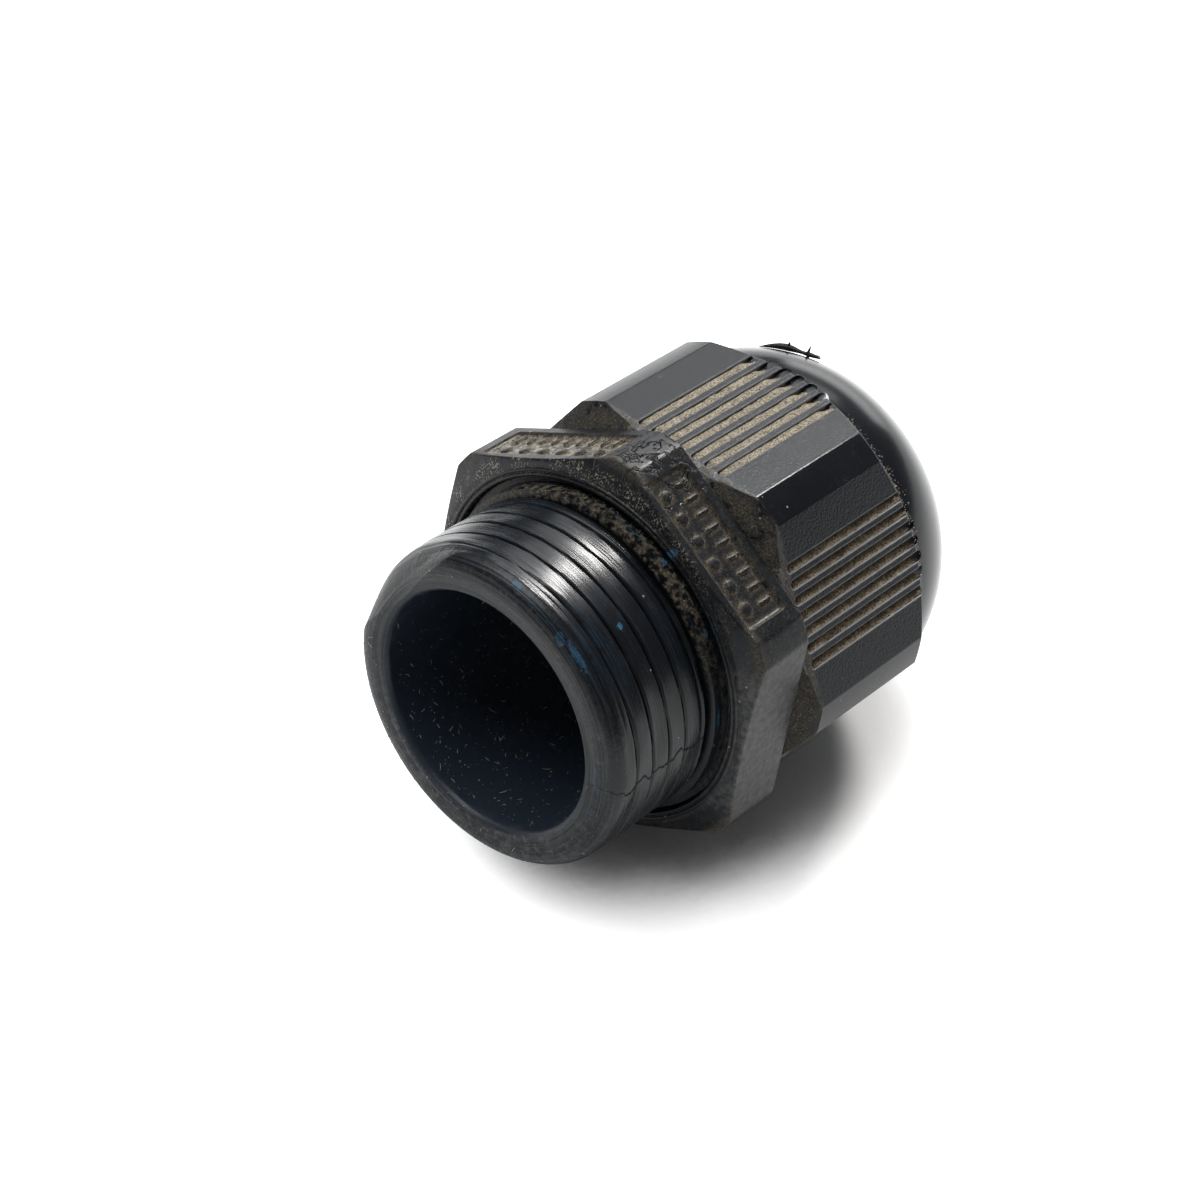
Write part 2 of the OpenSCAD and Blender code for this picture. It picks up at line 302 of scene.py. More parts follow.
def lay_down(obj, body, material, smooth=32):
    """Lays a finished piece down as the gland lies, and gives it its body and its material."""
    only(obj)
    obj.matrix_world = LAID.to_4x4()
    bpy.ops.object.transform_apply(location=True, rotation=True, scale=True)
    obj.data.materials.clear()
    obj.data.materials.append(material)
    bpy.ops.object.shade_smooth_by_angle(angle=math.radians(smooth))
    even = obj.modifiers.new("Flat faces stay flat", "WEIGHTED_NORMAL")
    even.keep_sharp = True
    bpy.ops.object.modifier_apply(modifier=even.name)
    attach(obj, body)


def steps_between(start, end, step):
    """Levels from start to end, both included, no more than step apart."""
    parts = max(1, math.ceil(abs(end - start) / step))
    return [start + (end - start) * i / parts for i in range(parts + 1)]


def arc(centre, radius, start, end, parts):
    """Points (radius, height) on an arc, from the angle start to the angle end in degrees."""
    return [(centre[0] + radius * math.cos(math.radians(start + (end - start) * i / parts)),
             centre[1] + radius * math.sin(math.radians(start + (end - start) * i / parts)))
            for i in range(parts + 1)]


def smoothstep(low, high, value):
    t = min(1, max(0, (value - low) / (high - low)))
    return t * t * (3 - 2 * t)


def grain(place, scale, seed=0):
    """Smooth noise from -1 to 1 at a place, with features of about the size scale."""
    return noise.noise(Vector(place) / scale + Vector((seed, 2 * seed, -seed)))


# --- The gland body -------------------------------------------------------------------------------

VALLEY_SHARPNESS = 8.0                       # higher values give broader crests
TIP_SLOPE = 0.7234                           # how fast the tips of the fingers narrow
SEATING_LAND = 11.75 * MM                    # radius of the flat part of the seating face
RIB_RADII = (11.09 * MM, 11.39 * MM)
PANEL_SIDES = (150, 210)                     # the two flats with sunk panels, in degrees


def roll_thread(obj, radius, pitch, depth, start, stop, start_run=0.0, stop_run=0.0):
    """Sinks a right-hand thread with round, worn crests into a turned wall of that radius."""
    for vertex in obj.data.vertices:
        x, y, z = vertex.co
        r = math.hypot(x, y)
        if abs(r - radius) > 0.002 * MM or not start <= z <= stop:
            continue
        turn = (z - start) / pitch - math.atan2(y, x) / FULL_TURN
        lobe = abs(2 * (turn % 1) - 1) ** VALLEY_SHARPNESS
        fade = 1.0
        if start_run:
            fade *= smoothstep(start, start + start_run, z)
        if stop_run:
            fade *= 1 - smoothstep(stop - stop_run, stop, z)
        uneven = 0.85 + 0.3 * grain((x, y, 1.7 * z), 1.6 * MM)
        scale = (r - depth * lobe * fade * uneven) / r
        vertex.co = (x * scale, y * scale, z)


def wear_mouth(obj, sizes):
    """Wears the crests unevenly, and rubs one side of the mouth round."""
    rubbed_side, rubbed_spread = math.radians(122), math.radians(50)
    slope_length, slope_depth = 2.1 * MM, 2.1 * MM
    thinnest = sizes.passage + 0.3 * MM
    for vertex in obj.data.vertices:
        x, y, z = vertex.co
        r, angle = math.hypot(x, y), math.atan2(y, x)
        if r < thinnest or z > -sizes.relief_top:
            continue
        worn = sizes.thread - 0.12 * MM * max(0, 0.35 + grain((x, y, 2 * z), 3 * MM))
        away = abs((angle - rubbed_side + math.pi) % FULL_TURN - math.pi)
        rubbed = 1 - smoothstep(0, rubbed_spread, away)
        height = max(0, 1 - (z + sizes.entry) / slope_length)
        worn -= rubbed * (0.08 * MM + slope_depth * height ** 2)
        worn -= 0.07 * MM * smoothstep(-6.5 * MM, -8 * MM, z) * max(
            0, grain((0.25 * x, 0.25 * y, 3 * z), 0.9 * MM, 7))
        worn = max(worn, thinnest)
        if r > worn:
            vertex.co = (x * worn / r, y * worn / r, z)


def body_core(sizes):
    """The turned core: passage, lip, entry thread, collar, neck, upper thread and crown."""
    mouth = -sizes.entry
    relief_low = -sizes.relief_top - sizes.relief_width
    edge = sizes.lip_inside
    tip = sizes.crown - (TIP_SLOPE * sizes.finger_tip - 0.05 * MM)
    outline = [
        (sizes.crown_bore, sizes.crown_top), (sizes.crown_bore, sizes.seat),
        *[(sizes.passage, z) for z in steps_between(sizes.seat, mouth + edge, 1.2 * MM)],
        *arc((sizes.passage + edge, mouth + edge), edge, 180, 270, 10)[1:],
        *arc((sizes.thread - sizes.lip, mouth + sizes.lip), sizes.lip, 270, 360, 18),
        *[(sizes.thread, z) for z in
          steps_between(mouth + sizes.lip, relief_low, 0.047 * MM)[1:]],
        (sizes.relief, relief_low), (sizes.relief, -sizes.relief_top),
        (sizes.collar - 0.12 * MM, -sizes.relief_top),
        (sizes.collar, -sizes.relief_top + 0.12 * MM),
        (sizes.collar, 0.7 * MM), (sizes.neck, 1.2 * MM), (sizes.neck, sizes.neck_top),
        *[(sizes.spigot, z) for z in
          steps_between(sizes.neck_top + sizes.spigot_depth,
                        sizes.crown_base - sizes.spigot_depth, 0.1 * MM)],
        (sizes.crown, sizes.crown_base), (sizes.crown, sizes.crown_top - sizes.finger_tip),
        (tip, sizes.crown_top)]
    core = lathe("body_core", outline, 240)
    roll_thread(core, sizes.thread, sizes.pitch, sizes.depth, mouth + 0.9 * MM, relief_low,
                start_run=1.2 * MM)
    roll_thread(core, sizes.spigot, sizes.spigot_pitch, sizes.spigot_depth, sizes.neck_top,
                sizes.crown_base)
    wear_mouth(core, sizes)
    return core


def finger_slots(sizes):
    """The cutter for the gaps between the crown's fingers."""
    bottom, top = sizes.crown_base + sizes.finger_gap, sizes.crown_top + MM
    slot = added("finger_slot", bpy.ops.mesh.primitive_cube_add, size=1,
                 location=(sizes.crown - sizes.finger_gap, 0, (bottom + top) / 2),
                 scale=(4 * MM, sizes.finger_gap, top - bottom))
    step = FULL_TURN / sizes.fingers
    return join("finger_slots", copies(
        slot, [side_place(step * (i + 0.5)) for i in range(sizes.fingers)]))


def hex_ring(sizes):
    """The spanner hex as a ring round the core, with its ribbed seating face."""
    chamfer = (sizes.corner - SEATING_LAND) * math.tan(math.radians(20))
    groove_wall = sizes.collar + sizes.groove
    buried = 9.0 * MM                        # within the core, so that the two join
    ring = lathe("hex_ring", [
        (buried, sizes.groove), (groove_wall, sizes.groove), (groove_wall, 0), (SEATING_LAND, 0),
        (sizes.corner, chamfer), (sizes.corner, sizes.hex), (buried, sizes.hex)], 144)
    bar = hex_bar("hex_bar", sizes.flats, -MM, sizes.hex + MM, SECTOR / 2)
    combine(ring, bar, "INTERSECT")
    round_edges(ring, 0.14 * MM, math.radians(15), 3)
    for side in PANEL_SIDES:
        combine(ring, panel_cutter(sizes, math.radians(side)), "DIFFERENCE")
        combine(ring, panel_marks(sizes, math.radians(side)), "UNION")
    for radius in RIB_RADII:
        rib = lathe("rib", arc((radius, 0), sizes.rib, 0, 337.5, 15), 144)
        combine(ring, rib, "UNION")
    return ring


def panel_cutter(sizes, angle):
    """The cutter of one sunk panel, with round corners."""
    cutter = added("panel_cutter", bpy.ops.mesh.primitive_cube_add, size=1,
                   location=(sizes.flats / 2 - sizes.panel_depth + MM, 0, sizes.hex / 2),
                   scale=(2 * MM, sizes.panel, sizes.panel_height))
    round_edges(cutter, 0.3 * MM, math.radians(60), 3)
    cutter.data.transform(side_place(angle))
    return cutter


def panel_marks(sizes, angle):
    """A row of plain upright ticks and a row of round pips that stand up from a panel's floor."""
    floor = sizes.flats / 2 - sizes.panel_depth
    tick = added("tick", bpy.ops.mesh.primitive_cube_add, size=1,
                 scale=(0.30 * MM, 0.26 * MM, 1.0 * MM))
    round_edges(tick, 0.09 * MM, math.radians(60))
    pip = added("pip", bpy.ops.mesh.primitive_cylinder_add, vertices=16, radius=0.38 * MM,
                depth=0.30 * MM, rotation=(0, QUARTER_TURN, 0))
    round_edges(pip, 0.08 * MM, math.radians(60))
    rows = ((tick, 9, 1.02 * MM, 0.78 * MM), (pip, 6, 1.55 * MM, -0.72 * MM))
    return join("panel_marks", [
        mark for shape, number, step, across in rows for mark in copies(shape, [
            side_place(angle) @ Matrix.Translation(
                (floor, (i - (number - 1) / 2) * step, sizes.hex / 2 + across))
            for i in range(number)])])


class GLAND_OT_body(bpy.types.Operator):
    """Add the gland body: entry thread, spanner hex, upper thread and clamping crown"""
    bl_idname = "gland.add_body"
    bl_label = "Gland Body"
    bl_options = {"REGISTER", "UNDO"}

    def execute(self, context):
        sizes = context.scene.gland_body
        body = body_core(sizes)
        combine(body, finger_slots(sizes), "DIFFERENCE")
        combine(body, hex_ring(sizes), "UNION")
        body.name = body.data.name = "moulded_body"
        lay_down(body, "body", worn_body_nylon(context.scene.gland_colours))
        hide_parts("gland_body")
        return {"FINISHED"}


# --- The sealing insert ---------------------------------------------------------------------------

class GLAND_OT_insert(bpy.types.Operator):
    """Add the rubber sealing insert, with grip ridges in its bore"""
    bl_idname = "gland.add_insert"
    bl_label = "Sealing Insert"
    bl_options = {"REGISTER", "UNDO"}

    def execute(self, context):
        sizes = context.scene.gland_insert
        edge = 0.2 * MM
        ridges, ridge_depth = 6, 0.22 * MM
        low, high = sizes.start + sizes.bevel, sizes.end - sizes.bevel
        bore = [(sizes.bore + ridge_depth * (0.5 - 0.5 * math.cos(
                    FULL_TURN * ridges * (z - low) / (high - low))), z)
                for z in steps_between(low, high, 0.16 * MM)]
        outline = [
            *bore, (sizes.bore + sizes.bevel, sizes.end),
            *arc((sizes.radius - edge, sizes.end - edge), edge, 90, 0, 4),
            *arc((sizes.radius - edge, sizes.start + edge), edge, 0, -90, 4),
            (sizes.bore + sizes.bevel, sizes.start)]
        insert = lathe("rubber_insert", outline, 128)
        lay_down(insert, "insert", insert_rubber(context.scene.gland_colours))
        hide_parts("sealing_insert")
        return {"FINISHED"}


# --- The dome nut ---------------------------------------------------------------------------------

def dome_curve(sizes):
    """Points on the dome's curve, from its foot to the rim of its end face."""
    foot, rim = Vector((sizes.dome, sizes.shoulder)), Vector((sizes.dome_end, sizes.end))
    chord = rim - foot
    reach = math.sqrt(sizes.dome_curve ** 2 - (chord.length / 2) ** 2)
    centre = (foot + rim) / 2 - Vector((chord.y, -chord.x)).normalized() * reach
    start = math.degrees(math.atan2(foot.y - centre.y, foot.x - centre.x))
    end = math.degrees(math.atan2(rim.y - centre.y, rim.x - centre.x))
    return arc(centre, sizes.dome_curve, start, end, 22)


def nut_blank(sizes):
    """The turned nut: rear face, chamfer, corners, shoulder, dome and everything inside."""
    rear_height = (sizes.corner - sizes.rear) * math.tan(sizes.rear_slope)
    shoulder_height = (sizes.corner - sizes.dome) * math.tan(sizes.shoulder_slope)
    outline = [
        (sizes.bore, sizes.start), (sizes.rear, sizes.start),
        (sizes.corner, sizes.start + rear_height),
        (sizes.corner, sizes.shoulder - shoulder_height),
        *dome_curve(sizes),
        (sizes.hole + sizes.bevel, sizes.end), (sizes.hole, sizes.end - sizes.bevel),
        (sizes.hole, sizes.cone_end), (sizes.chamber, sizes.cone_start),
        (sizes.chamber, sizes.chamber_start),
        *[(sizes.bore, z) for z in
          steps_between(sizes.chamber_start, sizes.start + 0.3 * MM, 0.11 * MM)]]
    blank = lathe("nut_blank", outline, 180)
    pitch, depth = 1.5 * MM, 0.4 * MM        # cut outwards, into the wall of the bore
    roll_thread(blank, sizes.bore, pitch, -depth, sizes.start + 0.4 * MM, sizes.chamber_start,
                stop_run=0.8 * MM)
    return blank


def grip_cutters(sizes):
    """The cutter for the grip grooves of all six flats, each with a round end."""
    half = sizes.groove_width / 2
    start = sizes.start + sizes.groove_start + half
    proud, chamfer = 0.1 * MM, 0.05 * MM
    groove = added("grip_groove", bpy.ops.mesh.primitive_cylinder_add, vertices=20, radius=half,
                   depth=sizes.groove_depth + proud, rotation=(0, QUARTER_TURN, 0),
                   location=((sizes.flats + proud - sizes.groove_depth) / 2, 0, start))
    bpy.ops.object.mode_set(mode="EDIT")
    bpy.ops.mesh.select_all(action="DESELECT")
    bm = bmesh.from_edit_mesh(groove.data)
    for vertex in bm.verts:
        vertex.select_set(vertex.co.z > start - 0.01 * MM)
    bm.select_flush(True)
    bpy.ops.transform.translate(value=(0, 0, sizes.shoulder - start + 0.1 * MM))
    bpy.ops.mesh.select_all(action="SELECT")
    bpy.ops.mesh.bisect(plane_co=(0, 0, sizes.dust_end), plane_no=(0, 0, 1))
    bpy.ops.mesh.select_all(action="SELECT")
    bpy.ops.mesh.bisect(plane_co=(sizes.flats / 2 - chamfer, 0, 0), plane_no=(1, 0, 0))
    bpy.ops.object.mode_set(mode="OBJECT")
    for vertex in groove.data.vertices:
        x, y, z = vertex.co
        if x > sizes.flats / 2:                  # the mouth of the groove is flared
            vertex.co += Vector((0, y, min(0, z - start))).normalized() * (proud + chamfer)
        elif x < sizes.flats / 2 - 2 * chamfer:  # the floor rises towards the shoulder
            vertex.co.x += 0.2 * max(0, z - sizes.dust_end)
    middle = (sizes.grooves - 1) / 2
    return join("grip_cutters", copies(groove, [
        side_place(SECTOR * side) @ Matrix.Translation((0, (i - middle) * sizes.groove_step, 0))
        for side in range(6) for i in range(sizes.grooves)]))


class GLAND_OT_nut(bpy.types.Operator):
    """Add the domed compression nut, with grip grooves on its flats"""
    bl_idname = "gland.add_nut"
    bl_label = "Dome Nut"
    bl_options = {"REGISTER", "UNDO"}

    def execute(self, context):
        sizes = context.scene.gland_nut
        nut = nut_blank(sizes)
        bar = hex_bar("nut_bar", sizes.flats, 0, sizes.end + MM, 0)
        combine(nut, bar, "INTERSECT")
        round_edges(nut, 0.07 * MM, math.radians(24))
        combine(nut, grip_cutters(sizes), "DIFFERENCE")
        nut.name = nut.data.name = "domed_nut"
        lay_down(nut, "nut", worn_nut_nylon(context.scene.gland_colours))
        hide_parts("dome_nut")
        return {"FINISHED"}


# --- Dust, crumbs and frayed bits -----------------------------------------------------------------

DUST_LEVEL = {180: 0.08, 240: 0.27, 120: 0.30, 300: 0.38, 60: 0.40, 0: 0.42}   # mm under each flat
UPPER_FLAT, HEAPED_FLAT = 180, 240           # in degrees; dust leans on one side of the second


def dust_strips(sizes):
    """Dust that fills the grip grooves: nearly to the top on the upper flat, less on the rest."""
    start, end = sizes.start + sizes.groove_start, sizes.dust_end + 0.4 * MM
    bpy.ops.object.select_all(action="DESELECT")
    bpy.ops.mesh.primitive_grid_add(
        x_subdivisions=112, y_subdivisions=7, size=1,
        location=(sizes.flats / 2, 0, (start + end) / 2), rotation=(0, QUARTER_TURN, 0))
    strip = named("dust_strip")
    bpy.ops.transform.resize(value=(1, sizes.groove_width, end - start))
    bpy.ops.object.transform_apply(location=True, rotation=True, scale=True)
    solid = strip.modifiers.new("Depth", "SOLIDIFY")
    solid.thickness = sizes.groove_depth + 0.12 * MM
    bpy.ops.object.modifier_apply(modifier=solid.name)
    half, middle = sizes.groove_width / 2, (sizes.grooves - 1) / 2
    strips = []
    for angle, level in DUST_LEVEL.items():
        heap = 0.19 * MM if angle == HEAPED_FLAT else 0.05 * MM
        fall = 0.3 if angle == UPPER_FLAT else 0.12
        for i in range(sizes.grooves):
            offset = (i - middle) * sizes.groove_step
            copy = copies(strip.copy(), [Matrix.Translation((0, offset, 0))])[0]
            outer = math.hypot(sizes.flats / 2, offset)
            shoulder = sizes.shoulder - (outer - sizes.dome) * math.tan(sizes.shoulder_slope)
            stretch = (shoulder - start) / (sizes.dust_end - start)
            stretch = 1 if angle == UPPER_FLAT else stretch
            for vertex in copy.data.vertices:
                x, y, z = vertex.co
                vertex.co.z = start + (z - start) * stretch
                if x < sizes.flats / 2 - 0.01 * MM:
                    continue
                across = (y - offset) / half
                rough = grain((y, z, 0), 0.16 * MM, angle + i) * 0.035 * MM \
                    + grain((y, z, 0), 0.9 * MM, angle + 3 * i) * 0.09 * MM
                ends = smoothstep(0.7 * MM, 0, z - start) \
                    + smoothstep(-0.9 * MM, 0.1 * MM, z - sizes.dust_end + rough * 4)
                sag = 0.05 * MM * across ** 2
                vertex.co.x = x - level * MM + rough - sag + heap * across - fall * MM * ends
            copy.data.transform(side_place(math.radians(angle)))
            strips.append(copy)
    bpy.data.objects.remove(strip)
    return join("groove_dust", strips)


def threads(name, lines, thickness):
    """Fine threads. Each line is a list of places with its share of the thickness there."""
    bpy.ops.object.select_all(action="DESELECT")
    bpy.ops.curve.primitive_nurbs_path_add()
    made = named(name)
    made.data.splines.clear()
    for line in lines:
        spline = made.data.splines.new("NURBS")
        spline.points.add(len(line) - 1)
        for point, (place, share) in zip(spline.points, line):
            point.co = (*place, 1)
            point.radius = share
        spline.order_u = 3
        spline.use_endpoint_u = True
        spline.resolution_u = 3
    made.data.bevel_depth = thickness
    made.data.bevel_resolution = 1
    made.data.use_fill_caps = True
    bpy.ops.object.convert(target="MESH")
    return bpy.context.object


def on_wall(radius, angle, height):
    """A place on a round wall, with the angle in degrees from the top."""
    turned = math.radians(angle)
    return Vector((-radius * math.cos(turned), radius * math.sin(turned), height))


def crumbs(name, places, size, chance):
    """Rough grains of dust at the places."""
    grit = added("crumb", bpy.ops.mesh.primitive_ico_sphere_add, subdivisions=1, radius=1)
    sizes = [size * chance.uniform(0.4, 1) for _ in places]
    return join(name, copies(grit, [
        Matrix.LocRotScale(place, Euler([chance.uniform(0, 3) for _ in range(3)]),
                           Vector([chance.uniform(0.5, 1) * s for _ in range(3)]))
        for place, s in zip(places, sizes)]))


def lip_place(sizes, angle, across):
    """A place on the lip: across is 0 at the passage and 1 at the thread."""
    middle = (sizes.passage + sizes.thread) / 2
    half = (sizes.thread - sizes.passage) / 2
    swing = math.pi * across
    return on_wall(middle - half * math.cos(swing), angle,
                   -sizes.entry + half * (1 - math.sin(swing)))


def mouth_lint(sizes):
    """Hairs and grains of dust that cling to the lower wall of the passage and to the lip."""
    chance = random.Random(11)
    lines, grains = [], []
    for i in range(260):
        angle = 180 + chance.gauss(-28, 46)
        if i % 3:
            start = on_wall(sizes.passage - 0.02 * MM, angle, chance.uniform(-8.4, 4) * MM)
        else:
            start = lip_place(sizes, angle, chance.uniform(0.1, 0.7))
        way = Vector([chance.gauss(0, 1) for _ in range(3)]).normalized()
        bend = Vector([chance.gauss(0, 1) for _ in range(3)]).normalized()
        reach = chance.uniform(0.10, 0.55) * MM
        lines.append([(start, 0.6), (start + way * reach / 2 + bend * reach / 4, 1),
                      (start + way * reach, 0.3)])
    for i in range(700):
        angle = 180 + chance.gauss(-28, 52)
        if i % 4:
            grains.append(on_wall(sizes.passage - 0.01 * MM, angle, chance.uniform(-8.4, 7) * MM))
        else:
            grains.append(lip_place(sizes, angle, chance.uniform(0, 1)))
    return join("mouth_lint", [threads("lint", lines, 0.019 * MM),
                               crumbs("grains", grains, 0.042 * MM, chance)])


def shoulder_crumbs(sizes):
    """Grains of dust along the shoulder."""
    chance = random.Random(4)
    places = []
    for _ in range(150):
        angle = chance.gauss(-46, 14)
        places.append(on_wall(sizes.dome - 0.01 * MM, angle,
                              sizes.shoulder + abs(chance.gauss(0, 0.22)) * MM))
    return crumbs("shoulder_crumbs", places, 0.05 * MM, chance)


FRAYED_SLIVER = (                            # height, angle, lift and share of the thickness
    (20.0, 27, 0.05, 0.1), (20.5, 22.6, 0.25, 0.75), (20.95, 18.4, 0.3, 1.0),
    (21.25, 14.6, 0.2, 0.35), (21.45, 12.4, 0.25, 0.8), (21.75, 9.0, 0.3, 0.25))
FRAYED_SPIKES = (                            # the same places, by pairs
    ((21.35, 12.9, 0.25, 0.5), (21.6, 12.4, 0.95, 0.06)),
    ((20.9, 18.8, 0.35, 0.6), (20.95, 18.2, 0.7, 0.1)),
    ((21.4, 12.8, 0.25, 0.5), (21.35, 12.9, -0.05, 0.4)),
    ((21.6, 10.4, 0.3, 0.35), (21.9, 9.6, 0.5, 0.08)))


def frayed_sliver(sizes):
    """A torn sliver of nylon that stands on the dome."""
    outline = dome_curve(sizes)

    def place(height, angle, lift, share):
        radius = next(r + (height * MM - z) * (after[0] - r) / (after[1] - z)
                      for (r, z), after in zip(outline, outline[1:]) if after[1] >= height * MM)
        return on_wall(radius + lift * MM, angle, height * MM), share

    lines = [[place(*point) for point in line] for line in (FRAYED_SLIVER, *FRAYED_SPIKES)]
    return threads("frayed_sliver", lines, 0.26 * MM)


class GLAND_OT_dirt(bpy.types.Operator):
    """Add the dust in the grip grooves, the lint in the mouth and the torn sliver on the dome"""
    bl_idname = "gland.add_dirt"
    bl_label = "Dust and Lint"
    bl_options = {"REGISTER", "UNDO"}

    def execute(self, context):
        body, nut = context.scene.gland_body, context.scene.gland_nut
        colours = context.scene.gland_colours
        dust, lint = packed_dust(colours), loose_lint(colours)
        for piece, rider, material, slot in (
                (dust_strips(nut), "nut", dust, "dome_nut"),
                (shoulder_crumbs(nut), "nut", lint, "dome_nut"),
                (frayed_sliver(nut), "nut", frayed_nylon(colours), "dome_nut"),
                (mouth_lint(body), "body", lint, "gland_body")):
            lay_down(piece, rider, material)
        return {"FINISHED"}


# --- Shader helpers -------------------------------------------------------------------------------

def sum_method(operation, swapped=False):
    """A method that works out one sum of a socket and a number or another socket."""
    def method(self, other):
        return self.shader.math(operation, *((other, self) if swapped else (self, other)))

    return method


class Wire:
    """An output socket that takes part in sums: each sum adds its Math node."""

    def __init__(self, shader, socket):
        self.shader, self.socket = shader, socket

    def math(self, operation, *values):
        return self.shader.math(operation, self, *values)

    __add__, __radd__ = sum_method("ADD"), sum_method("ADD", swapped=True)
    __sub__, __rsub__ = sum_method("SUBTRACT"), sum_method("SUBTRACT", swapped=True)
    __mul__, __rmul__ = sum_method("MULTIPLY"), sum_method("MULTIPLY", swapped=True)
    __truediv__, __rtruediv__ = sum_method("DIVIDE"), sum_method("DIVIDE", swapped=True)

    def __abs__(self):
        return self.math("ABSOLUTE")

    def step(self, low, high):
        """0 where this is below low, 1 where it is above high, and smooth between."""
        falling = low > high
        rise = self.shader.node(
            "ShaderNodeMapRange", {"interpolation_type": "SMOOTHSTEP"},
            {"Value": self, "From Min": min(low, high), "From Max": max(low, high)})
        return 1 - rise if falling else rise

    def either(self, other):
        return self.math("MAXIMUM", other)


class Shader:
    """Builds one material, node by node."""

    def __init__(self, name):
        self.material = bpy.data.materials.new(name)
        self.material.use_nodes = True
        self.tree = self.material.node_tree
        self.tree.nodes.clear()

    def node(self, kind, settings=None, sockets=None, output=0):
        node = self.tree.nodes.new(kind)
        for name, value in (settings or {}).items():
            setattr(node, name, value)
        for name, value in (sockets or {}).items():
            socket = node.inputs[name]
            if isinstance(value, Wire):
                self.tree.links.new(value.socket, socket)
            else:
                socket.default_value = value
        return Wire(self, node.outputs[output])

    def math(self, operation, *values):
        return self.node("ShaderNodeMath", {"operation": operation}, dict(enumerate(values)))

    def gland_place(self):
        """The place in the gland's own frame, in millimetres: z is the axis, -x is up."""
        here = self.node("ShaderNodeTexCoord", output="Object")
        return self.node("ShaderNodeMapping", {"vector_type": "POINT"}, {
            "Vector": here, "Rotation": LAID.transposed().to_euler("XYZ"),
            "Scale": (1 / MM, 1 / MM, 1 / MM)})

    def parts(self, vector):
        split = self.node("ShaderNodeSeparateXYZ", sockets={0: vector})
        return [Wire(self, socket) for socket in split.socket.node.outputs]

    def vector(self, x, y, z):
        return self.node("ShaderNodeCombineXYZ", sockets={0: x, 1: y, 2: z})

    def noise(self, place, size, detail=3, roughness=0.6, distortion=0.0):
        """Noise from 0 to 1 with blobs of about that size."""
        return self.node("ShaderNodeTexNoise", sockets={
            "Vector": place, "Scale": 1 / size, "Detail": detail, "Roughness": roughness,
            "Distortion": distortion})

    def cells(self, place, size):
        """The distance to the nearest of many scattered points, as a share of their spacing."""
        return self.node("ShaderNodeTexVoronoi", sockets={"Vector": place, "Scale": 1 / size})

    def shade(self, factor, dark, light):
        """A colour between two colours."""
        sockets = {0: factor, 6: as_rgba(dark), 7: as_rgba(light)}
        return self.node("ShaderNodeMix", {"data_type": "RGBA"}, sockets, output=2)

    def blend(self, factor, first, second):
        """A number between two numbers."""
        return self.node("ShaderNodeMix", {"data_type": "FLOAT"}, {0: factor, 2: first, 3: second})

    def bump(self, height, normal=None):
        """Tilts the normal as a surface of that height in millimetres would."""
        sockets = {"Height": height, "Distance": MM, "Strength": 1.0}
        if normal:
            sockets["Normal"] = normal
        return self.node("ShaderNodeBump", sockets=sockets)

    def rounded(self, reach):
        """The normal, with edges rounded over that many millimetres."""
        return self.node("ShaderNodeBevel", {"samples": 4}, {"Radius": reach * MM})

    def edges(self, rounded):
        """0 on plain faces, and more along edges, the more the rounded normal leans there."""
        face = self.node("ShaderNodeNewGeometry", output="Normal")
        return 1 - self.node("ShaderNodeVectorMath", {"operation": "DOT_PRODUCT"},
                             {0: rounded, 1: face}, output=1)

    def hollows(self, reach):
        """1 deep in a crevice and 0 in the open, looking that many millimetres away."""
        opening = self.node("ShaderNodeAmbientOcclusion", {"samples": 4, "only_local": True},
                            {"Distance": reach * MM}, output="AO")
        return 1 - opening

    def surface(self, ior, colour_here, roughness, normal):
        """Finishes the material with one Principled shader."""
        return self.finish(self.node("ShaderNodeBsdfPrincipled", sockets={
            "IOR": ior, "Base Color": colour_here, "Roughness": roughness, "Normal": normal}))

    def finish(self, shaded):
        output = self.tree.nodes.new("ShaderNodeOutputMaterial")
        self.tree.links.new(shaded.socket, output.inputs["Surface"])
        return self.material


def as_rgba(value):
    return value if isinstance(value, Wire) else (*value, 1)


def times(colour_value, factor, tint=(1, 1, 1)):
    """A colour made brighter or darker, and tinted."""
    return [part * factor * share for part, share in zip(colour_value, tint)]


# --- Materials ------------------------------------------------------------------------------------

FLAT_LEVEL = 12.0                            # from the axis to a flat of either hexagon, mm


def around(shader, x, y):
    """The angle round the axis in radians, with 0 at the top and its seam underneath."""
    return shader.math("ARCTAN2", y, -1 * x)


def near_flat(shader, x, y):
    """For the nearest of six flats: its number, the place across it and the depth under it."""
    radius, angle = shader.math("SQRT", x * x + y * y), around(shader, x, y)
    side = shader.math("FLOOR", angle / SECTOR + 0.5)
    turned = angle - side * SECTOR
    return side, radius * turned.math("SINE"), FLAT_LEVEL - radius * turned.math("COSINE")


def dust_look(shader, place, pale):
    """The colour of speckled dust: pale grains with a few dark ones."""
    grains = shader.noise(place, 0.11, detail=2, roughness=0.7)
    clumps = shader.noise(place, 0.6, detail=2)
    shade = shader.shade(grains.step(0.36, 0.64), times(pale, 0.3),
                         [min(1, c * 1.45) for c in pale])
    return shader.shade(clumps.step(0.45, 0.8) * 0.4, shade, times(pale, 0.6))


